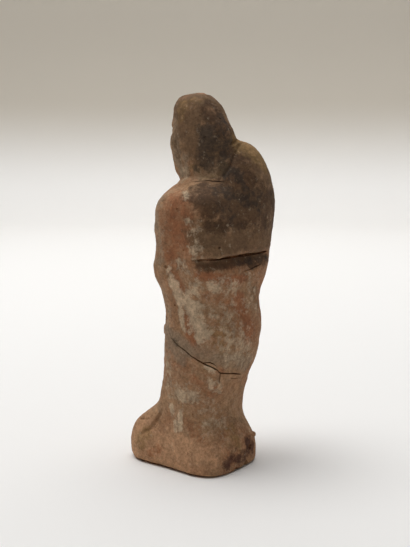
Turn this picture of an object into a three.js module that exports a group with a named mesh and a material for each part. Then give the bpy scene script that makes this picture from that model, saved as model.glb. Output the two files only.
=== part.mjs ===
// A small solid terracotta figurine: a hooded, hump-backed figure in a short cape over a long
// tunic, with its hands clasped under the cape, standing on a low base that is one with it. The
// figure is pressed and pared from a single lump of clay, so the whole object is one solid.
//
// Units are millimetres. +Z is up, the figure faces -Y, and its own left side is +X.
//
// The form is worked out as a potter would build it up: a few rounded masses of clay are smoothed
// into one another, and the grid of a SphereGeometry is then wrapped round them, row by row.

import * as THREE from 'three';
import { mergeVertices } from 'three/addons/utils/BufferGeometryUtils.js';

// ---------------------------------------------------------------- driving dimensions

const HEIGHT = 120;
const HEM_Z = 68.5; // lower edge of the cape, at the figure's left side
const HEM_RISE = 1.6; // how much higher that edge lies across the back
const HEM_FOLLOW = [6, 22]; // grid rows this near follow the hem fully, and further off not at all

const COLUMNS = 64; // grid columns round the figure
const CROWDING = { body: 0.12, head: 0.5, from: 78, to: 95 }; // columns drawn to the face side, by height

// Stretches of grid rows from the ground up: [lowest z, highest z, number of steps].
const ROW_STRETCHES = [
  [0.0, 2.4, 2],
  [2.4, HEM_Z - 6, 23],
  [HEM_Z - 6, HEM_Z - 0.2, 4],
  [HEM_Z + 0.2, 93, 14],
  [93, 111, 21],
];
const CROWN_CENTRE_Z = 111; // above this height the rows fan out from one point
const CROWN_STEPS = 7;
const UNDERSIDE_STEPS = 3;

const CLAY_COLOUR = 0xa0704f;
const CLAY_ROUGHNESS = 0.92;

// The body from the ground to the shoulders, in level slices. x and y place the slice's centre,
// wide and deep are its half sizes, and square is the exponent of its superellipse: 2 is an
// ellipse, and more is boxier.
const BODY_SLICES = [
  { z: 0, x: 1.5, y: -1.3, wide: 14.6, deep: 16.6, square: 3.8 }, // ground
  { z: 5, x: 1.4, y: -1.4, wide: 14.7, deep: 16.8, square: 3.9 }, // widest part of the base
  { z: 10, x: 1.2, y: -1.6, wide: 14.4, deep: 16.4, square: 3.2 }, // top of the base
  { z: 13, x: 1.1, y: -1.8, wide: 13.6, deep: 14.6, square: 2.8 },
  { z: 16.5, x: 1.0, y: -1.6, wide: 13.4, deep: 13.2, square: 2.5 }, // ankles
  { z: 23, x: 1.1, y: -0.4, wide: 13.4, deep: 12.4, square: 2.5 }, // shins
  { z: 30, x: 0.8, y: 1.2, wide: 13.9, deep: 12.7, square: 2.5 }, // knees
  { z: 38, x: 0.3, y: 2.6, wide: 14.8, deep: 13.4, square: 2.6 }, // thighs
  { z: 46, x: 0.0, y: 3.4, wide: 15.6, deep: 13.8, square: 2.6 }, // buttocks
  { z: 51, x: 0.0, y: 3.2, wide: 15.0, deep: 13.5, square: 2.6 },
  { z: 55, x: 0.2, y: 2.5, wide: 15.3, deep: 13.6, square: 2.6 }, // waist
  { z: 61, x: 0.1, y: 3.0, wide: 17.6, deep: 14.0, square: 2.7 }, // elbows
  { z: 70, x: 0.0, y: 3.8, wide: 18.8, deep: 14.4, square: 2.9 }, // lower ribs
  { z: 78, x: 0.1, y: 3.5, wide: 19.0, deep: 13.8, square: 2.9 }, // chest
  { z: 84, x: 0.3, y: 3.2, wide: 19.0, deep: 13.2, square: 2.8 }, // shoulders
  { z: 88, x: 0.5, y: 3.1, wide: 17.4, deep: 12.0, square: 2.6 },
  { z: 91, x: 0.6, y: 3.0, wide: 12.6, deep: 10.2, square: 2.4 }, // slope to the neck
  { z: 94, x: 0.6, y: 3.0, wide: 4.0, deep: 5.0, square: 2.0 },
];

// The hooded head, in level slices.
const HOOD_SLICES = [
  { z: 84, x: 0.8, y: 2.0, wide: 5.0, deep: 6.0, square: 2.0 },
  { z: 89, x: 0.8, y: 1.8, wide: 7.6, deep: 9.4, square: 2.0 }, // throat
  { z: 93, x: 0.8, y: 1.9, wide: 7.7, deep: 9.7, square: 2.1 }, // neck
  { z: 98, x: 0.8, y: 1.3, wide: 8.3, deep: 10.5, square: 2.1 }, // jaw
  { z: 104, x: 0.9, y: 0.5, wide: 8.8, deep: 10.8, square: 2.2 }, // cheeks
  { z: 108, x: 1.1, y: 0.3, wide: 8.2, deep: 10.0, square: 2.2 },
  { z: 112, x: 1.2, y: -0.7, wide: 7.8, deep: 8.8, square: 2.2 }, // brow
  { z: 116, x: 1.2, y: -2.2, wide: 7.0, deep: 7.8, square: 2.4 }, // crown
  { z: 119, x: 1.2, y: -3.0, wide: 4.8, deep: 5.4, square: 2.3 },
  { z: HEIGHT, x: 1.2, y: -3.2, wide: 1.6, deep: 1.6, square: 2.0 },
];

// The hood opens in front as an upright oval with a rolled edge, and the face rises inside it from
// a shallow groove. wide and tall are half sizes, and the groove's place and both widths are shares
// of them.
const OPENING = { x: 1.1, z: 103.2, wide: 6.6, tall: 9.2, rim: 1.0, rimWidth: 0.17 };
const FACE_GROOVE = { place: 0.72, width: 0.17, depth: 1.2 };
const OPENING_FADES_IN = [2, 6]; // how far in front of the centre line the rolled edge begins

// Soft upright folds in the front of the tunic.
const FOLDS = { between: [18, 56], spread: 62, waves: 5, depth: 0.5 };

// The undercut below the cape's hem: it runs round the back between two bearings, measured in
// degrees from +X through the back at 90.
const UNDERCUT = { from: 28, full: 72, fading: 98, to: 137, depth: 3.3, height: 5.7 };
const HEM_FALLS = [150, 220]; // bearings between which the hem's rise dies away again

// ---------------------------------------------------------------- clay masses

// Each mass is a function of a point that is negative inside the clay, and close to the distance
// from its surface, in millimetres.

const { clamp, lerp, smoothstep, radToDeg } = THREE.MathUtils;

function roundedColumn(slices) {
  const heights = slices.map((s) => s.z);
  const values = slices.flatMap((s) => [s.x, s.y, s.wide, s.deep, s.square]);
  const spline = new THREE.CubicInterpolant(heights, values, 5, new Float32Array(5));
  const [lowest, highest] = [heights.at(0), heights.at(-1)];
  return (p) => {
    const [x, y, wide, deep, square] = spline.evaluate(clamp(p.z, lowest, highest));
    const reach = (Math.abs((p.x - x) / wide) ** square + Math.abs((p.y - y) / deep) ** square)
      ** (1 / square);
    const beside = (reach - 1) * Math.min(wide, deep);
    const beyond = Math.max(lowest - p.z, p.z - highest);
    return Math.max(beside, beyond);
  };
}

function ellipsoid(x, y, z, wide, deep, tall) {
  const shortest = Math.min(wide, deep, tall);
  return (p) => (Math.hypot((p.x - x) / wide, (p.y - y) / deep, (p.z - z) / tall) - 1) * shortest;
}

// A sausage of clay between two points, whose radius changes evenly along it.
function roll(from, to, fromRadius, toRadius = fromRadius) {
  const start = new THREE.Vector3(...from);
  const span = new THREE.Vector3(...to).sub(start);
  const offset = new THREE.Vector3();
  return (p) => {
    offset.copy(p).sub(start);
    const along = clamp(offset.dot(span) / span.lengthSq(), 0, 1);
    return offset.addScaledVector(span, -along).length() - lerp(fromRadius, toRadius, along);
  };
}

function smoothJoin(a, b, blend) {
  const share = Math.max(blend - Math.abs(a - b), 0) / blend;
  return Math.min(a, b) - (share * share * blend) / 4;
}

// [mass, how softly it is smoothed in]
const MASSES = [
  [roundedColumn(HOOD_SLICES), 1.4],
  [ellipsoid(-5.4, 9.2, 84.8, 13.9, 10.1, 20.2), 2], // hump
  [roll([14.6, 0, 83], [14.2, -2.0, 66], 4.0, 4.0), 4], // left upper arm
  [roll([-15.0, 0, 84], [-15.2, -2.0, 66], 4.6, 4.8), 4], // right upper arm
  [roll([13.4, -4.5, 65.5], [4.2, -10.5, 71], 4.0, 3.2), 2.5], // left forearm
  [roll([-14.0, -4.5, 65], [-1.8, -10.5, 73], 4.2, 3.2), 2.5], // right forearm
  [ellipsoid(1.2, -11.0, 73, 4.8, 3.0, 4.0), 2], // hands, clasped under the cape
  [ellipsoid(10.6, -14.6, 5.4, 6.2, 8.2, 10.6), 4], // left foot
  [ellipsoid(-7.6, -14.6, 4.8, 6.0, 8.0, 9.0), 3.5], // right foot
  [roll([1.1, -10.2, 105.6], [1.1, -10.8, 102.0], 0.6, 1.0), 1.4], // nose
  [roll([-2.2, -9.6, 106.6], [4.4, -9.6, 106.6], 0.6), 2], // brow
  [ellipsoid(-1.3, -9.7, 104.9, 1.5, 0.8, 0.8), 0.8], // eyes
  [ellipsoid(3.5, -9.7, 104.9, 1.5, 0.8, 0.8), 0.8],
  [ellipsoid(1.1, -9.8, 99.0, 2.0, 0.9, 0.9), 1.2], // lips
  [ellipsoid(1.1, -9.0, 96.6, 2.4, 1.5, 1.5), 1.6], // chin
];

const bodyColumn = roundedColumn(BODY_SLICES);

function clay(p) {
  return MASSES.reduce((joined, [mass, blend]) => smoothJoin(joined, mass(p), blend), bodyColumn(p));
}

// ---------------------------------------------------------------- relief on the clay

const bump = (offset, width) => Math.exp(-((offset / width) ** 2));

// Bearings are turned to degrees from +X through the back at 90.
const FRONT_DEGREES = 270;
const bearingDegrees = (bearing) => (radToDeg(bearing) + 360) % 360;

// How far the hood's rolled edge stands out, or the face lies back, at a point of the surface.
function openingRelief({ x, y, z }) {
  const inFront = smoothstep(-y, ...OPENING_FADES_IN);
  const round = Math.hypot((x - OPENING.x) / OPENING.wide, (z - OPENING.z) / OPENING.tall);
  const rim = OPENING.rim * bump(round - 1, OPENING.rimWidth);
  const groove = FACE_GROOVE.depth * bump(round - FACE_GROOVE.place, FACE_GROOVE.width);
  return inFront * (rim - groove);
}

// How far a fold of the tunic stands out, at a bearing and a height.
function foldRelief(bearing, z) {
  const [low, high] = FOLDS.between;
  const middle = (low + high) / 2;
  const along = Math.max(0, 1 - ((z - middle) / (middle - low)) ** 2);
  const aside = (bearingDegrees(bearing) - FRONT_DEGREES) / FOLDS.spread;
  const across = Math.max(0, 1 - aside ** 2);
  return FOLDS.depth * along * across * Math.cos(aside * FOLDS.waves * Math.PI);
}

// How much higher the hem lies at a bearing than at the figure's left side.
function hemLift(bearing) {
  const degrees = bearingDegrees(bearing);
  const rise = smoothstep(degrees, UNDERCUT.from, UNDERCUT.full);
  return HEM_RISE * rise * (1 - smoothstep(degrees, ...HEM_FALLS));
}

// How deep the paring knife went in below the hem, at a bearing and a height.
function undercutDepth(bearing, z) {
  const { from, full, fading, to, depth, height } = UNDERCUT;
  const degrees = bearingDegrees(bearing);
  const share = Math.sqrt(smoothstep(degrees, from, full) * (1 - smoothstep(degrees, fading, to)));
  const below = HEM_Z - z;
  if (below < 0 || share === 0) return 0;
  return depth * share * clamp(1 - below / (height * share), 0, 1);
}

// ---------------------------------------------------------------- wrapping the grid

const CENTRE_LINE = { x: 1.0, footY: 0.5, headY: -1.0 };
const FURTHEST = 40; // no part of the figure is further than this from its centre line
const SEARCH_STEP = 0.5;
const HALVINGS = 16;
const SEAM_TOLERANCE = 1e-4;

// The figure's centre line, from which every row looks outwards. It leans forward to the head.
function centreLine(z) {
  const { x, footY, headY } = CENTRE_LINE;
  return new THREE.Vector3(x, lerp(footY, headY, clamp(z / HEIGHT, 0, 1)), z);
}

// Where a line from a point inside the clay comes out of it.
function surfaceDistance(origin, direction) {
  const probe = new THREE.Vector3();
  const outside = (distance) => clay(probe.copy(origin).addScaledVector(direction, distance)) > 0;
  let high = SEARCH_STEP;
  while (!outside(high) && high < FURTHEST) high += SEARCH_STEP;
  let low = high - SEARCH_STEP;
  for (let i = 0; i < HALVINGS; i++) {
    const middle = (low + high) / 2;
    if (outside(middle)) high = middle;
    else low = middle;
  }
  return high;
}

// The rows of the grid from the crown's pole down to the underside's pole. Each row has a height,
// a pitch above the horizon at which it looks out, and a share of the outline's full reach.
function gridRows() {
  const rows = [];
  for (let i = 0; i <= UNDERSIDE_STEPS; i++) {
    rows.push({ z: 0, pitch: 0, share: i / (UNDERSIDE_STEPS + 1) });
  }
  for (const [low, high, steps] of ROW_STRETCHES) {
    const first = rows.at(-1).z === low && rows.at(-1).share === 1 ? 1 : 0;
    for (let i = first; i <= steps; i++) rows.push({ z: lerp(low, high, i / steps), pitch: 0, share: 1 });
  }
  for (let i = 1; i <= CROWN_STEPS; i++) {
    rows.push({ z: CROWN_CENTRE_Z, pitch: ((Math.PI / 2) * i) / CROWN_STEPS, share: 1 });
  }
  return rows.reverse();
}

function bearingOfColumn(column, z) {
  const turn = (column / COLUMNS) * 2 * Math.PI; // from the front, at -Y
  const crowding = lerp(CROWDING.body, CROWDING.head, smoothstep(z, CROWDING.from, CROWDING.to));
  return turn - crowding * Math.sin(turn) - Math.PI / 2;
}

// The point of the surface that a row and a bearing look out at.
function surfacePoint({ z, pitch, share }, bearing) {
  const lift = hemLift(bearing) * (1 - smoothstep(Math.abs(z - HEM_Z), ...HEM_FOLLOW));
  const origin = centreLine(z + lift);
  const [east, north] = [Math.cos(bearing), Math.sin(bearing)];
  const direction = new THREE.Vector3(east, north, Math.tan(pitch)).normalize();
  const reach = surfaceDistance(origin, direction);
  const plain = origin.clone().addScaledVector(direction, reach);
  const relief = openingRelief(plain) + foldRelief(bearing, z) - undercutDepth(bearing, z);
  return origin.addScaledVector(direction, share * (reach + relief));
}

function wrapFigure() {
  const rows = gridRows();
  const geometry = new THREE.SphereGeometry(1, COLUMNS, rows.length - 1);
  const position = geometry.getAttribute('position');
  rows.forEach((row, index) => {
    for (let column = 0; column <= COLUMNS; column++) {
      const { x, y, z } = surfacePoint(row, bearingOfColumn(column % COLUMNS, row.z));
      position.setXYZ(index * (COLUMNS + 1) + column, x, y, z);
    }
  });
  geometry.deleteAttribute('normal');
  geometry.deleteAttribute('uv');
  return mergeVertices(geometry, SEAM_TOLERANCE);
}

// Puts the origin on the ground below the middle of the figure's box.
function centreOnGround(geometry) {
  geometry.computeBoundingBox();
  const { min, max } = geometry.boundingBox;
  return geometry.translate(-(min.x + max.x) / 2, -(min.y + max.y) / 2, -min.z);
}

const terracotta = new THREE.MeshStandardMaterial({
  name: 'terracotta',
  color: CLAY_COLOUR,
  roughness: CLAY_ROUGHNESS,
  metalness: 0,
});

const figure = new THREE.Mesh(centreOnGround(wrapFigure()), terracotta);
figure.name = 'hooded_figure';
figure.geometry.computeVertexNormals();

const group = new THREE.Group();
group.add(figure);

export default group;
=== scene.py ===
# A worn terracotta figurine, 120 mm tall: a hooded, hump-backed figure in a short cape over a long
# tunic. It was pressed and pared from one lump of clay, dipped in a white slip that has mostly gone,
# broken across the thighs and mended with a brown paste.

import bpy
import math
import random
import numpy as np
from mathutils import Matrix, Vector
from mathutils.bvhtree import BVHTree


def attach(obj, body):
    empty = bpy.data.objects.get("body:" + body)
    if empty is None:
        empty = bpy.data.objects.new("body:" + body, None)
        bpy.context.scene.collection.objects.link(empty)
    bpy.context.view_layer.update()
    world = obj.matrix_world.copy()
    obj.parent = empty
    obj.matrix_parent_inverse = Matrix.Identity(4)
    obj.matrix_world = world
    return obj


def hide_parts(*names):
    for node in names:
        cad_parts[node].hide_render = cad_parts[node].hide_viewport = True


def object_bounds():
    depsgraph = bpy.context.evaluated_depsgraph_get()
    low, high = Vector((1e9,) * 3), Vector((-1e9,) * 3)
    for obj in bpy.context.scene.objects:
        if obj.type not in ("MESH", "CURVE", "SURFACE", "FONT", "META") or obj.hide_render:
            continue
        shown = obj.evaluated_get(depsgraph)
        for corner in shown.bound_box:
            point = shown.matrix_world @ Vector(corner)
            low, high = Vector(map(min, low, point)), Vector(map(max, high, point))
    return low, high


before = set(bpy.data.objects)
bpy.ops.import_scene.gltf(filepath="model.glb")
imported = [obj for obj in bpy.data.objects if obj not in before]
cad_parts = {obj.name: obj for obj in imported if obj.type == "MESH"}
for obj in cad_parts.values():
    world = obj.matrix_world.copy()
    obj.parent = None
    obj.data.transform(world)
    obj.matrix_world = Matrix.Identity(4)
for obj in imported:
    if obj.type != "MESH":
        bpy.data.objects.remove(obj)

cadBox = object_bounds()
mm = 0.001  # the scene is in metres, and every size below is in millimetres
random.seed(7)
print("frame loaded")


# small helpers: selecting, applying, and finding places on the clay

def selectOnly(obj):
    if bpy.context.object and bpy.context.object.mode != "OBJECT":
        bpy.ops.object.mode_set(mode="OBJECT")
    bpy.ops.object.select_all(action="DESELECT")
    obj.select_set(True)
    bpy.context.view_layer.objects.active = obj


def applyModifier(obj, kind, **settings):
    selectOnly(obj)
    modifier = obj.modifiers.new(kind.lower(), kind)
    for name, value in settings.items():
        setattr(modifier, name, value)
    bpy.ops.object.modifier_apply(modifier=modifier.name)


def joinInto(obj, others):
    selectOnly(obj)
    for other in others:
        other.select_set(True)
    bpy.ops.object.join()


def settle(obj):  # leaves the object at the origin, with its place in its mesh
    selectOnly(obj)
    bpy.ops.object.transform_apply(location=True, rotation=True, scale=True)


def cutAway(obj, cutter):
    applyModifier(obj, "BOOLEAN", operation="DIFFERENCE", solver="MANIFOLD", object=cutter)
    bpy.data.objects.remove(cutter)


def triangleCount(obj):
    return sum(len(p.vertices) - 2 for p in obj.data.polygons)


# A bearing turns from the figure's own left, through its back at 90, its right and its front at 270.
clayNode = bpy.data.objects["hooded_figure"]
clayTree = BVHTree.FromObject(clayNode, bpy.context.evaluated_depsgraph_get())
clear = 60  # mm from the middle, outside all of the clay


def onClay(bearing, z):  # the point of the clay that a level line at this bearing meets first
    out = Vector((math.cos(math.radians(bearing)), math.sin(math.radians(bearing)), 0))
    return clayTree.ray_cast(out * clear * mm + Vector((0, 0, z * mm)), -out)[0]


def onFront(x, z):  # the same, looking straight at the face
    return clayTree.ray_cast(Vector((x, -clear, z)) * mm, Vector((0, 1, 0)))[0]


# ---- the clay figure: a copy of the solid, with its face, hair and dress worked up

figureSizes = {
    "weld": 0.01,
    "voxel": 0.26, "quickVoxel": 0.5,  # how finely the clay is modelled
    "smoothing": 3, "smoothFactor": 0.5,
    "mostTriangles": 190000, "smoothAngle": 50,
}
voxel = figureSizes["voxel"]

selectOnly(clayNode)
bpy.ops.object.duplicate()
figure = bpy.context.object
figure.name = "wornFigure"
bpy.ops.object.mode_set(mode="EDIT")
bpy.ops.mesh.select_all(action="SELECT")
bpy.ops.mesh.remove_doubles(threshold=figureSizes["weld"] * mm)
bpy.ops.mesh.tris_convert_to_quads()
bpy.ops.object.mode_set(mode="OBJECT")
applyModifier(figure, "SUBSURF", levels=1, render_levels=1)
print("clay copied", triangleCount(figure))


# fuller and flatter places: where the clay is, which way it is drawn, how far, and over what reach

swells = [
    (347, 84.5, 309, 0.5, 4.5), (347, 78, 309, 0.45, 6.0), (342, 61, 309, 0.5, 4.5),
    (127, 37, 129, 0.6, 8.0), (318, 15, 309, 0.45, 6.0), (112, 105.4, 129, -0.9, 4.0),
    (98, 112, 129, -0.5, 8.0), (324, 108.5, 309, -0.5, 2.5), (335, 104, 309, 0.2, 4.0),
    (40, 2, 40, 0.2, 6.0),
]


def drawOut(obj, bearing, z, toward, out, reach):
    spots = np.empty(len(obj.data.vertices) * 3)
    obj.data.vertices.foreach_get("co", spots)
    apart = np.linalg.norm(spots.reshape(-1, 3) - np.array(onClay(bearing, z)), axis=1)
    selectOnly(obj)
    bpy.ops.object.mode_set(mode="EDIT")
    bpy.ops.mesh.select_mode(type="VERT")
    bpy.ops.mesh.select_all(action="DESELECT")
    bpy.ops.object.mode_set(mode="OBJECT")
    obj.data.vertices[int(apart.argmin())].select = True
    bpy.ops.object.mode_set(mode="EDIT")
    turn = math.radians(toward)
    bpy.ops.transform.translate(value=(out * mm * math.cos(turn), out * mm * math.sin(turn), 0),
                                use_proportional_edit=True, proportional_edit_falloff="SMOOTH",
                                proportional_size=reach * mm)
    bpy.ops.object.mode_set(mode="OBJECT")


for swell in swells:
    drawOut(figure, *swell)
print("clay drawn out")


def pellet(place, size, turn=(0, 0, 0)):  # a pinch of clay, to press on or to take out
    bpy.ops.object.select_all(action="DESELECT")
    bpy.ops.mesh.primitive_uv_sphere_add(segments=20, ring_count=12, radius=mm, location=place,
                                         rotation=[math.radians(t) for t in turn], scale=size)
    settle(bpy.context.object)
    return bpy.context.object


# grooves, cracks and seams: a wedge swept along a line on the clay, then cut away

meanRadius = 16
wedgeShape = {
    "step": 1.2, "proud": 1.0, "weld": 0.002,
    "thinEnd": 0.35, "thickening": 0.35,  # its width at the ends, and how fast it grows from there
    "evenWidth": 0.9, "unevenWidth": (0.8, 1.15),
}


def curveOf(name, points, closed=False):
    line = bpy.data.curves.new(name, "CURVE")
    line.dimensions = "3D"
    spline = line.splines.new("POLY")
    spline.points.add(len(points) - 1)
    for point, place in zip(spline.points, points):
        point.co = (*place, 1)
    spline.use_cyclic_u = closed
    obj = bpy.data.objects.new(name, line)
    bpy.context.collection.objects.link(obj)
    return obj


def wander(path, step, jitter):  # the path in short steps, each a little off the line
    walked = []
    for (b0, z0), (b1, z1) in zip(path, path[1:]):
        apart = math.hypot(math.radians(b1 - b0) * meanRadius, z1 - z0)
        count = max(1, round(apart / step))
        walked += [(b0 + (b1 - b0) * i / count, z0 + (z1 - z0) * i / count) for i in range(count)]
    walked.append(path[-1])
    return [(b, z + random.uniform(-jitter, jitter)) for b, z in walked]


def upTurned(path):  # bearings that pass the figure's left side keep growing past 360
    turned = [path[0]]
    for bearing, z in path[1:]:
        while bearing < turned[-1][0] - 180:
            bearing += 360
        turned.append((bearing, z))
    return turned


def wedgeAlong(path, width, depth, step=wedgeShape["step"], jitter=0.0, **choices):
    places = [onClay(b, z) for b, z in wander(path, step, jitter)]
    return wedgeThrough(places, width, depth, uneven=jitter > 0, **choices)


def wedgeThrough(places, width, depth, proud=wedgeShape["proud"], undercut=False, uneven=False):
    line = curveOf("line", places)
    half = width / 2
    section = [(-depth, 0), (0, -half), (proud, 0), (0, half)]
    if undercut:  # level above and sloping below, so that the clay over it keeps a sharp lip
        section = [(-depth, half), (-depth / 3, -half), (proud, -half), (proud, half)]
    section = [(x * mm, y * mm, 0) for x, y in section]
    wedge = curveOf("wedge", section, closed=True)
    line.data.bevel_mode = "OBJECT"
    line.data.bevel_object = wedge
    line.data.use_fill_caps = True
    line.data.twist_mode = "Z_UP"
    for i, point in enumerate(line.data.splines[0].points):  # it runs out thin at both ends
        fromEnd = min(i, len(places) - 1 - i)
        share = random.uniform(*wedgeShape["unevenWidth"]) if uneven else wedgeShape["evenWidth"]
        point.radius = min(1, wedgeShape["thinEnd"] + wedgeShape["thickening"] * fromEnd) * share
    selectOnly(line)
    bpy.ops.object.convert(target="MESH")
    bpy.data.objects.remove(wedge)
    closeUp(line)
    return line


def closeUp(obj):
    selectOnly(obj)
    bpy.ops.object.mode_set(mode="EDIT")
    bpy.ops.mesh.select_all(action="SELECT")
    bpy.ops.mesh.remove_doubles(threshold=wedgeShape["weld"] * mm)
    bpy.ops.mesh.normals_make_consistent(inside=False)
    bpy.ops.object.mode_set(mode="OBJECT")


drapery = {  # soft lines in the dress: path, width, depth
    "lines": [
        ([(213, 82), (228, 77), (245, 73)], 1.6, 0.7),  # folds of the cape
        ([(207, 76), (226, 71), (246, 69)], 1.4, 0.6),
        ([(296, 73), (312, 77), (326, 82)], 1.6, 0.7),
        ([(296, 69), (314, 71), (330, 76)], 1.4, 0.6),
        ([(236, 87), (256, 80), (262, 78)], 1.3, 0.5),
        ([(280, 78), (288, 80), (306, 87)], 1.3, 0.5),
        ([(178, 66), (200, 63), (225, 60.5), (250, 59.5), (275, 59.3), (300, 60.5), (318, 63.5)],
         1.0, 0.7),  # the cape's front hem
        ([(60, 92.6), (66, 94.6), (73.5, 97.4), (81, 100.5), (93, 103.4), (106, 104.6), (120, 104.8)],
         2.0, 0.5),  # where the hood meets the hump
        ([(80, 103.4), (90, 104.6), (101, 105.2), (113, 105.4)], 2.6, 1.3),  # and the notch over it
        ([(300, 109.6), (311, 109.2), (322, 108.6), (331, 107.4), (339, 105), (346, 101.5), (352, 97.5)],
         1.6, 0.8),  # behind the hood's rim
        ([(322, 9), (329, 11.5), (334, 16.5), (338, 19)], 3.2, 0.9),  # between the left foot and the hem
        ([(205, 15), (225, 13.2), (248, 14.4), (268, 15.2), (290, 14.4), (312, 13.4), (328, 14.6)],
         0.9, 0.7),  # the tunic's hem
    ],
    "hollows": [(250, 33, 15), (269, 32, 17), (287, 34, 15)],  # in the skirt: bearing, z, half length
    "hollowSize": (0.9, 1.1),
}
for path, width, depth in drapery["lines"]:
    cutAway(figure, wedgeAlong(path, width, depth))
for bearing, z, length in drapery["hollows"]:
    cutAway(figure, pellet(onClay(bearing, z), (*drapery["hollowSize"], length), (0, 0, bearing)))
print("dress marked")


# flats left by the paring knife: bearing and elevation of the knife's face, and how much it took off

paring = [
    (309, 46, 0.4), (309, 28, 0.6), (129, 46, 0.8), (60, 18, 0.15), (100, 16, 0.2), (75, -4, 0.15),
    (160, 30, 0.3), (200, 35, 0.3), (240, 40, 0.3), (290, 30, 0.3), (20, -12, 0.2), (150, -8, 0.3),
]


def pareOff(obj, bearing, elevation, depth):
    around, up = math.radians(bearing), math.radians(elevation)
    facing = Vector((math.cos(around) * math.cos(up), math.sin(around) * math.cos(up), math.sin(up)))
    furthest = max(v.co.dot(facing) for v in obj.data.vertices)
    selectOnly(obj)
    bpy.ops.object.mode_set(mode="EDIT")
    bpy.ops.mesh.select_all(action="SELECT")
    bpy.ops.mesh.bisect(plane_co=facing * (furthest - depth * mm), plane_no=facing,
                        use_fill=True, clear_outer=True)
    bpy.ops.object.mode_set(mode="OBJECT")


for bearing, elevation, depth in paring:
    pareOff(figure, bearing, elevation, depth)
print("pared", triangleCount(figure))


# the face and hair, pressed on in pinches: calm, with the eyes halfway up the head

face = {
    "middle": 1.29, "eyeZ": 104.9, "eyeApart": 2.2, "eyeball": (1.15, 0.62, 0.62),
    "browZ": 106.6, "brow": (1.9, 0.75, 0.42), "browTilt": 8,
    "noseZ": 103.5, "nose": (0.72, 1.35, 2.2), "tipZ": 102.2, "tip": (0.85, 1.5, 0.75),
    "nostrilApart": 0.85, "nostril": (0.55, 0.9, 0.5),
    "lipZ": 99.9, "upperLip": (1.5, 0.85, 0.45), "lowerLip": (1.2, 0.85, 0.5), "lipDrop": 0.95,
    "chinZ": 97.0, "chin": (1.6, 1.1, 1.2),
    "hairPlace": (4.6, 6.7), "hairMiddleZ": 103.2, "hair": (0.75, 1.0, 1.25), "locks": 11,
    "hairFrom": 15, "hairTurn": 150,
    # the lines cut into it: width and depth, half length, how far they bow, and how far from their part
    "fineCut": (0.42, 0.75), "deepCut": (0.45, 0.8), "cutProud": 1.8, "cutSteps": 5,
    "lidReach": 1.5, "lidRise": 0.75, "lidGap": 0.1, "lowerLid": (0.9, -0.8),
    "mouthReach": 1.35, "noseReach": 1.1, "noseDrop": 0.75, "chinReach": 0.9, "chinDrop": 0.85,
    "bow": 0.1,
}
scraps = [(115, 9.2, (1.2, 1.3, 1.0)), (331, 44.6, (0.4, 0.5, 1.8))]  # on the base, and by the break
crownPinch = {"size": (3.2, 3.2, 2.25), "drop": 1.9}

added = []
for side in (-1, 1):
    x = face["middle"] + side * face["eyeApart"]
    added.append(pellet(onFront(x, face["eyeZ"]), face["eyeball"]))
    added.append(pellet(onFront(x, face["browZ"]), face["brow"], (0, side * face["browTilt"], 0)))
    x = face["middle"] + side * face["nostrilApart"]
    added.append(pellet(onFront(x, face["tipZ"]), face["nostril"]))
lowerLipZ = face["lipZ"] - face["lipDrop"]
for z, part in ((face["noseZ"], "nose"), (face["tipZ"], "tip"), (face["lipZ"], "upperLip"),
                (lowerLipZ, "lowerLip"), (face["chinZ"], "chin")):
    added.append(pellet(onFront(face["middle"], z), face[part]))
for i in range(face["locks"]):
    turn = math.radians(face["hairFrom"] + face["hairTurn"] * i / (face["locks"] - 1))
    x = face["middle"] + face["hairPlace"][0] * math.cos(turn)
    z = face["hairMiddleZ"] + face["hairPlace"][1] * math.sin(turn)
    added.append(pellet(onFront(x, z), face["hair"], (0, 90 - math.degrees(turn), 0)))
added += [pellet(onClay(bearing, z), size) for bearing, z, size in scraps]
crown = max((v.co for v in clayNode.data.vertices), key=lambda place: place.z)
added.append(pellet(crown - Vector((0, 0, crownPinch["drop"])) * mm, crownPinch["size"]))
joinInto(figure, added)
applyModifier(figure, "REMESH", mode="VOXEL", voxel_size=voxel * mm)
applyModifier(figure, "SMOOTH", factor=figureSizes["smoothFactor"], iterations=figureSizes["smoothing"])
print("face and hair pressed on", triangleCount(figure))


# the uneven skin: presses of the fingers, then drags of the knife, then grit

skin = [("fingers", 9.0, 0.55), ("drags", 3.0, 0.32), ("grit", 0.9, 0.13)]  # name, size, height
for name, size, height in skin:
    texture = bpy.data.textures.new(name, "CLOUDS")
    texture.noise_scale = size * mm
    texture.noise_depth = 2
    applyModifier(figure, "DISPLACE", texture=texture, texture_coords="LOCAL",
                  strength=height * mm, mid_level=0.5)
print("skin roughened")


# crisp edges, cut after the skin: the cape's undercut lip, and the rim of the base clear of the table

edges = {
    "hem": [(31, 68.8), (38, 69.0), (48, 69.2), (62, 69.4), (80, 69.5), (95, 69.5), (108, 69.6),
            (124, 69.9)],
    "hemSize": (1.1, 1.5),
    "sole": [(315, 0.3), (340, 0.3), (360, 0.3), (375, 0.25), (395, 0.15), (415, 0.05)],
    "soleSize": (1.6, 1.5),
}
cutAway(figure, wedgeAlong(edges["hem"], *edges["hemSize"], undercut=True))
cutAway(figure, wedgeAlong(edges["sole"], *edges["soleSize"]))
print("edges cut")


def faceLine(x, z, reach, rise, size):  # a cut across the face, bowed up by the rise, or down
    shares = [i / face["cutSteps"] for i in range(-face["cutSteps"], face["cutSteps"] + 1)]
    bowed = [onFront(x + reach * share, z + rise * math.cos(math.pi / 2 * share)) for share in shares]
    cutAway(figure, wedgeThrough(bowed, *size, proud=face["cutProud"]))


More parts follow.
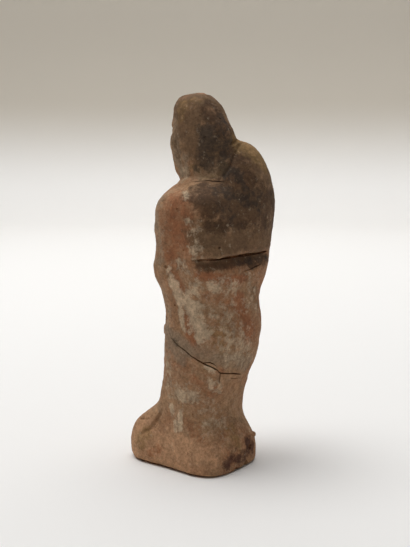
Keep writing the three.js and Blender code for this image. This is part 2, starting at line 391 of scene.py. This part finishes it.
for side in (-1, 1):
    x = face["middle"] + side * face["eyeApart"]
    faceLine(x, face["eyeZ"] + face["lidGap"], face["lidReach"], face["lidRise"], face["fineCut"])
    faceLine(x, face["eyeZ"] - face["lidGap"], face["lidReach"] * face["lowerLid"][0],
             face["lidRise"] * face["lowerLid"][1], face["fineCut"])
x = face["middle"]
faceLine(x, face["lipZ"] - face["lipDrop"] / 2, face["mouthReach"], face["bow"], face["deepCut"])
faceLine(x, face["tipZ"] - face["noseDrop"], face["noseReach"], -face["bow"], face["deepCut"])
faceLine(x, lowerLipZ - face["chinDrop"], face["chinReach"], -face["bow"], face["fineCut"])
print("face cut")


# damage: the break, small cracks, pits and chips

damage = {
    "break": [(358, 43.4), (7, 41.8), (16, 40.5), (21, 40.0), (26, 38.8), (34, 37.5), (41, 36.5),
              (47, 35.6), (53, 34.7), (57, 33.5), (60, 32.9), (72, 32.3), (90, 31.1)],
    "breakSize": (0.5, 1.7), "breakJitter": 0.16, "crackStep": 0.9, "branchStep": 0.7, "jitter": 0.1,
    "branches": [([(41, 36.9), (46.5, 36.8), (51.5, 36.3), (55, 35.2)], 0.42, 1.2),  # path, width, depth
                 ([(70, 31.0), (80, 30.2), (92, 29.6)], 0.2, 0.6)],
    "slits": [(58.5, 32.0, 1.3), (58.1, 30.9, 1.2)], "slitSize": (1.1, 0.24),  # bearing, z, half length
    "fine": [
        ([(24, 92.2), (36, 92.4), (50, 92.5), (65, 92.3)], 0.32, 1.2),
        ([(80, 64.6), (92, 65.0), (103, 65.6), (112, 66.4)], 0.35, 1.2),
        ([(109, 29.2), (130, 28.2), (152, 29.4), (176, 31), (203, 34)], 0.28, 0.9),
    ],
    "pits": [(5, 66.4, 0.6), (53, 72.8, 0.45), (333.6, 16.5, 0.55), (62, 70.9, 0.3), (24, 72, 0.3)],
    "pitStretch": 1.3, "strayPits": 70, "strayPitSize": (0.18, 0.42), "strayPitHeights": (3, 114),
    "chips": [  # bearing, z, size
        (95, 0.6, (2.4, 1.6, 1.3)), (113, 0.1, (3.6, 3.2, 2.5)), (78, 0.2, (1.6, 1.2, 0.9)),
        (134, 2.0, (2.0, 1.6, 1.6)), (103, 6.0, (1.2, 1.0, 1.0)), (341, 48.6, (1.1, 1.2, 1.5)),
        (200, 0.4, (2.2, 1.4, 1.0)), (250, 0.5, (1.8, 1.2, 1.0)), (165, 0.5, (1.6, 1.2, 0.8)),
        (345, 0.2, (1.4, 1.1, 0.7)), (20, 0.1, (1.3, 1.0, 0.6)),
    ],
}


cracks = [wedgeAlong(upTurned(damage["break"]), *damage["breakSize"], step=damage["crackStep"],
                     jitter=damage["breakJitter"])]
cracks += [wedgeAlong(path, width, depth, step=damage["crackStep"], jitter=damage["jitter"])
           for path, width, depth in damage["fine"]]
joinInto(cracks[0], cracks[1:])
cutAway(figure, cracks[0])
branches = [wedgeAlong(path, width, depth, step=damage["branchStep"], jitter=damage["jitter"])
            for path, width, depth in damage["branches"]]  # cut after the cracks that they meet
joinInto(branches[0], branches[1:])
cutAway(figure, branches[0])
for bearing, z, length in damage["slits"]:  # upright ones, too steep to sweep
    cutAway(figure, pellet(onClay(bearing, z), (*damage["slitSize"], length), (0, 0, bearing)))


def pitAt(place, size):  # a ball set in the surface, to be cut out of it
    bpy.ops.object.select_all(action="DESELECT")
    bpy.ops.mesh.primitive_ico_sphere_add(subdivisions=2, radius=mm, location=place, scale=size,
                                          rotation=[random.uniform(0, 3) for axis in range(3)])
    settle(bpy.context.object)
    return bpy.context.object


marks = [(onClay(bearing, z), (size, size, size * damage["pitStretch"]))
         for bearing, z, size in damage["pits"]]
marks += [(onClay(bearing, z), size) for bearing, z, size in damage["chips"]]
for i in range(damage["strayPits"]):
    size = random.uniform(*damage["strayPitSize"])
    spot = onClay(random.uniform(0, 360), random.uniform(*damage["strayPitHeights"]))
    marks.append((spot, (size, size, size)))
holes = []
for i, (place, size) in enumerate(marks):  # each clear of those before it
    if all((place - other).length > (max(size) + max(otherSize)) * mm for other, otherSize in marks[:i]):
        holes.append(pitAt(place, size))
joinInto(holes[0], holes[1:])
cutAway(figure, holes[0])
print("damage cut", triangleCount(figure))


# the mesh is thinned, and what stands out of the solid's box is rubbed level with it

selectOnly(figure)
bpy.ops.object.mode_set(mode="EDIT")
bpy.ops.mesh.select_all(action="SELECT")
bpy.ops.mesh.quads_convert_to_tris()
bpy.ops.object.mode_set(mode="OBJECT")
if triangleCount(figure) > figureSizes["mostTriangles"]:
    applyModifier(figure, "DECIMATE", ratio=figureSizes["mostTriangles"] / triangleCount(figure))

corners = np.clip(np.array([v.co for v in figure.data.vertices]), cadBox[0], cadBox[1])
figure.data.vertices.foreach_set("co", corners.ravel())
figure.data.update()
print("thinned and fitted", triangleCount(figure))


# ---- washes: where slip, soot, earth and paste lie on the clay, and painted shade under the cape's hem

washes = {  # path of (bearing, z), reach in mm, strength
    "slip": [
        ([(12, 60.5), (14, 58)], 2.2, 1.0), ([(8, 66), (11, 61)], 1.2, 0.75),
        ([(24, 56), (30, 53.5), (34, 50), (38, 47.5), (41, 45.5)], 2.9, 0.95),
        ([(13, 55), (16, 50), (19, 47)], 1.1, 0.95), ([(26, 48.5), (28, 46)], 1.0, 0.75),
        ([(44, 35.2), (50, 33.8)], 1.0, 0.9), ([(48, 29.5), (56, 28)], 2.6, 0.5),
        ([(12, 25.5), (28, 25)], 2.8, 0.8), ([(356, 21), (359, 18)], 1.0, 0.85),
        ([(12, 19.5), (11, 14)], 1.1, 0.9), ([(4, 15.5), (6, 13)], 1.1, 0.85),
        ([(32, 61), (50, 61), (68, 60)], 3.4, 0.6), ([(28, 60), (38, 54)], 2.6, 0.65),
        ([(95, 60), (102, 55)], 4.8, 0.4), ([(60, 52), (72, 46), (70, 40)], 6.0, 0.5),
        ([(22, 89), (26, 88)], 1.2, 0.75), ([(27, 81), (30, 80.6)], 1.2, 0.65),
        ([(20, 67.5), (24, 66)], 1.8, 0.65), ([(33, 78), (34, 74), (36, 70)], 2.6, 0.5),
        ([(355, 98), (0, 92)], 2.2, 0.5),
        ([(85, 45), (95, 38)], 5.0, 0.45), ([(350, 34), (355, 24)], 2.0, 0.5),
        ([(40, 24), (60, 16)], 5.0, 0.4),
    ],
    "sootAndPaintedShade": [
        ([(46, 107), (48, 98)], 3.3, 0.92), ([(60, 104), (64, 98)], 4.2, 0.65),
        ([(30, 96), (34, 99)], 2.0, 0.6), ([(72, 112), (78, 104)], 3.0, 0.6),
        # painted shade: this soot stroke darkens the recess under the cape's hem
        ([(70, 68), (95, 67.4), (124, 67.6)], 1.5, 0.6),
        ([(60, 90), (80, 89), (95, 86)], 4.0, 0.6), ([(70, 95), (80, 93)], 3.0, 0.7),
        ([(56, 84), (66, 82)], 3.0, 0.55), ([(5, 42.6), (8, 41.4)], 1.2, 0.5),
    ],
    "ochreAndPaintedLight": [
        # the second stroke, on the hump's top, is partly its tan colour and partly painted light on the top
        # that faces the lamps
        ([(354, 115.8), (352, 112)], 2.6, 0.6), ([(98, 104), (106, 103), (114, 99)], 4.4, 1.0),
        ([(24, 96), (36, 95), (50, 94.6), (60, 95.4), (66, 97)], 2.4, 0.55),
        ([(327, 10), (324, 7)], 3.4, 0.6), ([(76, 13), (84, 9)], 3.0, 0.6),
        ([(66, 10), (80, 6)], 2.4, 0.5), ([(55, 47), (62, 42)], 4.0, 0.45),
        ([(20, 117.5), (45, 118)], 2.2, 0.5), ([(10, 92), (18, 91)], 2.0, 0.5),
    ],
    "earth": [
        ([(0, 116), (40, 116), (90, 112)], 9.0, 0.85), ([(8, 108), (30, 104), (80, 104)], 8.0, 0.85),
        ([(68, 99), (90, 98), (120, 98)], 5.0, 0.8), ([(92, 60), (106, 54)], 4.0, 0.45),
        ([(42, 76), (75, 75), (120, 75)], 6.5, 0.9),
        ([(100, 98), (130, 90), (135, 75)], 9.0, 0.8), ([(160, 110), (220, 112)], 9.0, 0.8),
        ([(170, 95), (190, 85)], 8.0, 0.7), ([(35, 90), (50, 86)], 4.0, 0.7),
        ([(64, 47), (74, 44)], 5.0, 0.35), ([(85, 17), (100, 14)], 4.0, 0.4),
    ],
    "grimeAndPaintedShade": [
        ([(46, 88), (75, 86), (110, 85)], 7.0, 0.95), ([(48, 81), (75, 82), (110, 80)], 4.5, 0.8),
        ([(68, 94), (85, 92)], 4.5, 0.9), ([(62, 113), (85, 107), (92, 101)], 5.0, 0.75),
        # painted shade: the next two grime strokes darken the recess under the cape's hem, where its shadow
        # falls
        ([(38, 67.4), (70, 67.8), (112, 68.0)], 1.9, 0.95), ([(96, 66.5), (120, 67.5)], 2.0, 0.8),
        ([(150, 105), (200, 112), (180, 90)], 7.0, 0.7), ([(130, 80), (160, 78)], 7.0, 0.7),
    ],
    "rubbed": [
        ([(20, 84), (24, 78), (19, 72)], 5.4, 0.75), ([(12, 88), (14, 80), (10, 70)], 3.4, 0.6),
        ([(36, 64.5), (60, 62.8), (84, 62.4)], 1.6, 0.9), ([(22, 51.5), (25, 48), (29, 43)], 1.8, 1.0),
        ([(78, 56), (88, 50), (92, 44)], 3.0, 0.9), ([(54, 36.2), (62, 33.5)], 1.0, 0.5),
        ([(30, 33), (45, 28)], 3.6, 0.5), ([(12, 66), (16, 60)], 2.6, 0.7), ([(80, 50), (92, 42)], 4.0, 0.5),
        ([(48, 58), (70, 55)], 3.0, 0.5), ([(335, 4), (345, 6)], 2.0, 0.6), ([(20, 20), (40, 12)], 4.0, 0.35),
    ],
    "pale": [
        ([(335, 111), (340, 104), (345, 95)], 2.0, 0.85), ([(350, 86), (352, 78), (355, 68)], 4.0, 0.6),
        ([(8, 100), (4, 95)], 2.4, 0.6), ([(30, 95), (45, 94.6), (62, 95)], 2.2, 0.75),
        ([(340, 60), (345, 45), (350, 30)], 4.0, 0.5), ([(28, 117), (44, 116)], 0.9, 0.7),
        ([(52, 78.9), (75, 79.2), (92, 79.4)], 0.4, 0.6), ([(57, 77.6), (88, 77.8)], 0.4, 0.5),
    ],
    "paste": [
        ([(345, 44.5), (8, 42.5), (24, 40.6)], 3.2, 0.9), ([(0, 41), (16, 37)], 2.8, 0.8),
        ([(36, 40.5), (60, 37.5), (80, 36), (98, 34)], 3.2, 0.7),
    ],
    "dust": [
        ([(310, 6), (340, 6), (10, 7), (40, 7)], 6.5, 0.85), ([(0, 1), (45, 2)], 3.0, 0.6),
        ([(316, 14), (330, 12)], 3.0, 0.6), ([(200, 5), (240, 5), (280, 5)], 6.0, 0.7),
    ],
    "stain": [
        ([(64, 3.4), (74, 4.6), (86, 3.4), (98, 4.6)], 2.2, 0.8), ([(100, 8), (108, 6)], 2.2, 0.7),
        ([(70, 8), (76, 7)], 1.4, 0.5),
    ],
}
straySlip = {  # the right side and the front keep scraps of slip too
    "count": 34, "bearings": (135, 305), "heights": (8, 112), "lowest": 3,
    "drop": (0.5, 5), "drift": (-6, 6), "reach": (0.7, 2.6), "strength": (0.6, 1.0),
}
strayWear = {  # bare patches, each with grime a little further round: path from its place, reach, strength
    "count": 9, "bearings": (140, 280), "heights": (12, 80),
    "rubbed": ([(0, 0), (10, 6)], (2, 5), 0.8), "grimeAndPaintedShade": ([(25, 0), (30, 9)], (2, 4), 0.6),
}
for i in range(straySlip["count"]):
    bearing, z = random.uniform(*straySlip["bearings"]), random.uniform(*straySlip["heights"])
    drop = random.uniform(*straySlip["drop"])
    end = (bearing + random.uniform(*straySlip["drift"]), max(straySlip["lowest"], z - drop))
    washes["slip"].append(([(bearing, z), end], random.uniform(*straySlip["reach"]),
                           random.uniform(*straySlip["strength"])))
for i in range(strayWear["count"]):
    bearing, z = random.uniform(*strayWear["bearings"]), random.uniform(*strayWear["heights"])
    for name in ("rubbed", "grimeAndPaintedShade"):
        moves, reach, strength = strayWear[name]
        path = [(bearing + around, z + up) for around, up in moves]
        washes[name].append((path, random.uniform(*reach), strength))


washFade = {"step": 2.5, "gone": 1.7, "over": 1.4}  # a stroke is gone at this many times its reach


def washStrength(places, strokes):
    total = np.zeros(len(places))
    for path, reach, strength in strokes:
        spots = [np.array(onClay(b, z)) for b, z in wander(upTurned(path), washFade["step"], 0)]
        nearest = np.full(len(places), 1e9)
        for a, b in zip(spots, spots[1:] or spots):
            span = b - a
            along = np.clip(((places - a) @ span) / max(span @ span, 1e-12), 0, 1)
            nearest = np.minimum(nearest, np.linalg.norm(places - a - along[:, None] * span, axis=1))
        share = np.clip((washFade["gone"] - nearest / (reach * mm)) / washFade["over"], 0, 1)
        total = np.maximum(total, strength * share * share * (3 - 2 * share))
    return total


places = np.array([v.co for v in figure.data.vertices])
for name, strokes in washes.items():
    wash = figure.data.attributes.new(name, "FLOAT", "POINT")
    wash.data.foreach_set("value", washStrength(places, strokes))
print("washes laid")

selectOnly(figure)
bpy.ops.object.shade_smooth_by_angle(angle=math.radians(figureSizes["smoothAngle"]))


# ---- materials

def linearOf(hexColour):  # sRGB hex to the linear colour that nodes work in
    parts = [int(hexColour[i:i + 2], 16) / 255 for i in (1, 3, 5)]
    return [p / 12.92 if p <= 0.04045 else ((p + 0.055) / 1.055) ** 2.4 for p in parts] + [1]


def addNode(tree, kind, inputs=None, **settings):  # a node with its settings, values and links
    node = tree.nodes.new(kind)
    for name, value in settings.items():
        setattr(node, name, value)
    for name, value in (inputs or {}).items():
        if isinstance(value, bpy.types.NodeSocket):
            tree.links.new(value, node.inputs[name])
        else:
            node.inputs[name].default_value = value
    return node


# Terracotta: low-fired earthenware, pressed by hand and left unglazed. It is matt and slightly open,
# and its orange body shows under brown earth, soot and the last of a chalky slip.
clay = {
    "body": "#9c7a5b",
    # size in mm, detail, coarseness, where in the noise it starts and is full, how opaque, colour
    "blotches": [
        (14, 4, 0.55, 0.35, 0.65, 1.0, "#966a4c"),
        (3.5, 8, 0.7, 0.42, 0.68, 0.7, "#ab8c6e"),
        (1.2, 6, 0.7, 0.56, 0.7, 0.6, "#6a4c38"),
    ],
    "roughness": 0.9, "specular": 0.25,
    "mottle": [(2.6, 0.78, 1.22), (0.9, 0.74, 1.28)],  # size in mm, darkest, lightest
    "mottleNoise": (6, 0.75, 0.3, 0.7),  # detail, coarseness, where in the noise it starts and is full
    "grit": (0.6, 6, 0.7), "gritHeight": 0.9,  # size in mm, detail, coarseness
    "slipHeight": 0.8, "bump": 0.12,
    "ragNoise": (10, 0.75), "ragStrength": 2.2, "tornFrom": 0.25, "tornTo": 0.85,  # detail, coarseness
    # wash: colour, size of its ragged edge in mm, how ragged, how opaque, roughness
    "layers": [
        ("dust", "#b58c6a", 5.0, 1.0, 0.85, 0.92),
        ("pale", "#9a866f", 3.0, 1.1, 0.8, 0.92),
        ("rubbed", "#935e3f", 4.0, 1.0, 0.85, 0.85),
        ("paste", "#8c7660", 5.0, 0.5, 0.88, 0.88),
        ("earth", "#6c543d", 4.0, 1.0, 0.88, 0.85),
        # grime, and the painted shade under the cape's hem
        ("grimeAndPaintedShade", "#4c3624", 4.0, 1.3, 0.8, 0.78),
        # ochre, and painted light on the hump's top
        ("ochreAndPaintedLight", "#8b6e47", 3.0, 1.0, 0.75, 0.9),
        # soot, and the painted shade under the cape's hem
        ("sootAndPaintedShade", "#3a322b", 3.0, 1.3, 0.75, 0.8),
        ("stain", "#46291f", 3.0, 1.5, 0.85, 0.85),
        ("slip", "#c2ab8f", 2.4, 1.7, 0.8, 0.97),
    ],
}


def terracotta():
    material = bpy.data.materials.new("wornTerracotta")
    material.use_nodes = True
    tree = material.node_tree
    shader = tree.nodes["Principled BSDF"]
    place = addNode(tree, "ShaderNodeTexCoord").outputs["Object"]

    colour = linearOf(clay["body"])
    for size, detail, coarse, low, high, opaque, shade in clay["blotches"]:
        noise = addNode(tree, "ShaderNodeTexNoise", {"Vector": place, "Scale": 1 / (size * mm),
                        "Detail": detail, "Roughness": coarse}).outputs["Fac"]
        share = addNode(tree, "ShaderNodeMapRange", {"Value": noise, "From Min": low, "From Max": high,
                        "To Max": opaque}, interpolation_type="SMOOTHSTEP").outputs[0]
        colour = addNode(tree, "ShaderNodeMix", {0: share, 6: colour, 7: linearOf(shade)},
                         data_type="RGBA").outputs[2]
    rough = clay["roughness"]
    size, detail, coarse = clay["grit"]
    noise = addNode(tree, "ShaderNodeTexNoise", {"Vector": place, "Scale": 1 / (size * mm),
                    "Detail": detail, "Roughness": coarse}).outputs["Fac"]
    height = addNode(tree, "ShaderNodeMath", {0: noise, 1: clay["gritHeight"]},
                     operation="MULTIPLY").outputs[0]
    detail, coarse = clay["ragNoise"]
    for name, shade, size, ragged, opaque, layerRough in clay["layers"]:
        wash = addNode(tree, "ShaderNodeAttribute", attribute_name=name).outputs["Fac"]
        noise = addNode(tree, "ShaderNodeTexNoise", {"Vector": place, "Scale": 1 / (size * mm),
                        "Detail": detail, "Roughness": coarse}).outputs["Fac"]
        rag = addNode(tree, "ShaderNodeMath", {0: noise, 1: -0.5}, operation="ADD").outputs[0]
        torn = addNode(tree, "ShaderNodeMath", {0: rag, 1: ragged * clay["ragStrength"], 2: wash},
                       operation="MULTIPLY_ADD").outputs[0]
        share = addNode(tree, "ShaderNodeMapRange", {"Value": torn, "From Min": clay["tornFrom"],
                        "From Max": clay["tornTo"], "To Max": opaque},
                        interpolation_type="SMOOTHSTEP").outputs[0]
        colour = addNode(tree, "ShaderNodeMix", {0: share, 6: colour, 7: linearOf(shade)},
                         data_type="RGBA").outputs[2]
        rough = addNode(tree, "ShaderNodeMix", {0: share, 2: rough, 3: layerRough}).outputs[0]
        if name == "slip":  # the one coat thick enough to stand off the clay
            height = addNode(tree, "ShaderNodeMath", {0: share, 1: clay["slipHeight"], 2: height},
                             operation="MULTIPLY_ADD").outputs[0]
    detail, coarse, low, high = clay["mottleNoise"]
    for size, darkest, lightest in clay["mottle"]:
        noise = addNode(tree, "ShaderNodeTexNoise", {"Vector": place, "Scale": 1 / (size * mm),
                        "Detail": detail, "Roughness": coarse}).outputs["Fac"]
        grain = addNode(tree, "ShaderNodeMapRange", {"Value": noise, "From Min": low, "From Max": high,
                        "To Min": darkest, "To Max": lightest},
                        interpolation_type="SMOOTHSTEP").outputs[0]
        colour = addNode(tree, "ShaderNodeMix", {0: 1.0, 6: colour, 7: grain}, data_type="RGBA",
                         blend_type="MULTIPLY").outputs[2]
    bump = addNode(tree, "ShaderNodeBump", {"Height": height, "Strength": 1.0,
                   "Distance": clay["bump"] * mm})
    tree.links.new(colour, shader.inputs["Base Color"])
    tree.links.new(rough, shader.inputs["Roughness"])
    tree.links.new(bump.outputs["Normal"], shader.inputs["Normal"])
    shader.inputs["Specular IOR Level"].default_value = clay["specular"]
    return material


figure.data.materials.clear()
figure.data.materials.append(terracotta())
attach(figure, "root")
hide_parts("hooded_figure")
print("figure finished")


# ---- the table: white paper swept up into a round wall, with soft light from overhead

studio = {
    "flat": 1050, "sweep": 360, "wall": 900, "facets": 96, "sweepSteps": 14, "supportEdge": 0.1,
    "dimNearPaper": "#eeedeb", "litFarPaper": "#fbfaf8", "paintedLightFrom": 120, "paintedLightTo": 1080,  # painted light: paler with distance from the figure, where more light falls
    "shadedPaper": "#cdc6ba", "shadeFrom": 40, "shadeTo": 230,  # painted shade: greyer by height up the wall
    "paperRoughness": 0.95, "paperSpecular": 0.1,
    "roomColour": "#fbfbff", "ambient": 0.12,
    "lamps": [  # place, aim, across, watts, spread in degrees
        ((-387, -316, 1300), (-542, -443, 0), 1600, 8.7, 120),
        ((250, -305, 1100), (0, 0, 50), 700, 2.2, 120),
    ],
}
bpy.ops.object.select_all(action="DESELECT")
bpy.ops.mesh.primitive_circle_add(vertices=studio["facets"], radius=studio["flat"] * mm, fill_type="NGON",
                                  location=(0, 0, cadBox[0].z))
paper = bpy.context.object
paper.name = "paperSweep"
bpy.ops.object.mode_set(mode="EDIT")
bpy.ops.mesh.select_all(action="SELECT")
bpy.ops.mesh.select_mode(type="VERT")
bpy.ops.mesh.inset(thickness=studio["supportEdge"] * mm)  # keeps the shading of the flat part level
bpy.ops.mesh.select_all(action="DESELECT")
bpy.ops.mesh.select_non_manifold()
reach, height = studio["flat"], 0
for i in range(1, studio["sweepSteps"] + 1):
    turn = math.pi / 2 * i / studio["sweepSteps"]
    nextReach = studio["flat"] + studio["sweep"] * math.sin(turn)
    nextHeight = studio["sweep"] * (1 - math.cos(turn))
    bpy.ops.mesh.extrude_edges_move()
    bpy.ops.transform.resize(value=(nextReach / reach, nextReach / reach, 1))
    bpy.ops.transform.translate(value=(0, 0, (nextHeight - height) * mm))
    reach, height = nextReach, nextHeight
bpy.ops.mesh.extrude_edges_move()
bpy.ops.transform.translate(value=(0, 0, (studio["wall"] - height) * mm))
bpy.ops.mesh.select_all(action="SELECT")
bpy.ops.mesh.normals_make_consistent(inside=True)
bpy.ops.object.mode_set(mode="OBJECT")
settle(paper)
bpy.ops.object.shade_smooth()


def mattPaper():  # card, pressed smooth and uncoated: no shine, with painted light making it paler away from the figure and painted shade making it greyer up the wall
    material = bpy.data.materials.new("mattPaper")
    material.use_nodes = True
    tree = material.node_tree
    shader = tree.nodes["Principled BSDF"]
    place = addNode(tree, "ShaderNodeTexCoord").outputs["Object"]

    # painted light: the paper grows paler away from the figure
    away = addNode(tree, "ShaderNodeVectorMath", {"Vector": place}, operation="LENGTH").outputs["Value"]
    pale = addNode(tree, "ShaderNodeMapRange", {"Value": away, "From Min": studio["paintedLightFrom"] * mm,
                   "From Max": studio["paintedLightTo"] * mm}, interpolation_type="SMOOTHSTEP").outputs[0]
    colour = addNode(tree, "ShaderNodeMix", {0: pale, 6: linearOf(studio["dimNearPaper"]),
                     7: linearOf(studio["litFarPaper"])}, data_type="RGBA").outputs[2]
    # painted shade: the paper greys up the wall
    up = addNode(tree, "ShaderNodeSeparateXYZ", {"Vector": place}).outputs["Z"]
    shaded = addNode(tree, "ShaderNodeMapRange", {"Value": up, "From Min": studio["shadeFrom"] * mm,
                     "From Max": studio["shadeTo"] * mm}, interpolation_type="SMOOTHSTEP").outputs[0]
    colour = addNode(tree, "ShaderNodeMix", {0: shaded, 6: colour, 7: linearOf(studio["shadedPaper"])},
                     data_type="RGBA").outputs[2]
    tree.links.new(colour, shader.inputs["Base Color"])
    shader.inputs["Roughness"].default_value = studio["paperRoughness"]
    shader.inputs["Specular IOR Level"].default_value = studio["paperSpecular"]
    return material


paper.data.materials.append(mattPaper())

world = bpy.data.worlds.new("paleRoom")
bpy.context.scene.world = world
world.use_nodes = True
world.node_tree.nodes["Background"].inputs["Color"].default_value = linearOf(studio["roomColour"])
world.node_tree.nodes["Background"].inputs["Strength"].default_value = studio["ambient"]
for place, aim, across, watts, spread in studio["lamps"]:
    bpy.ops.object.light_add(type="AREA", location=Vector(place) * mm)
    lamp = bpy.context.object
    lamp.data.shape = "DISK"
    lamp.data.size = across * mm
    lamp.data.energy = watts
    lamp.data.spread = math.radians(spread)
    lamp.rotation_euler = (Vector(aim) * mm - lamp.location).to_track_quat("-Z", "Y").to_euler()
bpy.context.scene.view_settings.view_transform = "Standard"

camera = {"place": (202.3, 166.8, 97.6), "lens": 53.25, "down": 7.7, "bearing": 129.3, "nearest": 10}
tilt, bearing = math.radians(90 - camera["down"]), math.radians(camera["bearing"])
bpy.ops.object.camera_add(location=Vector(camera["place"]) * mm, rotation=(tilt, 0, bearing))
bpy.context.scene.camera = bpy.context.object
bpy.context.object.data.lens = camera["lens"]
bpy.context.object.data.clip_start = camera["nearest"] * mm
print("studio set")
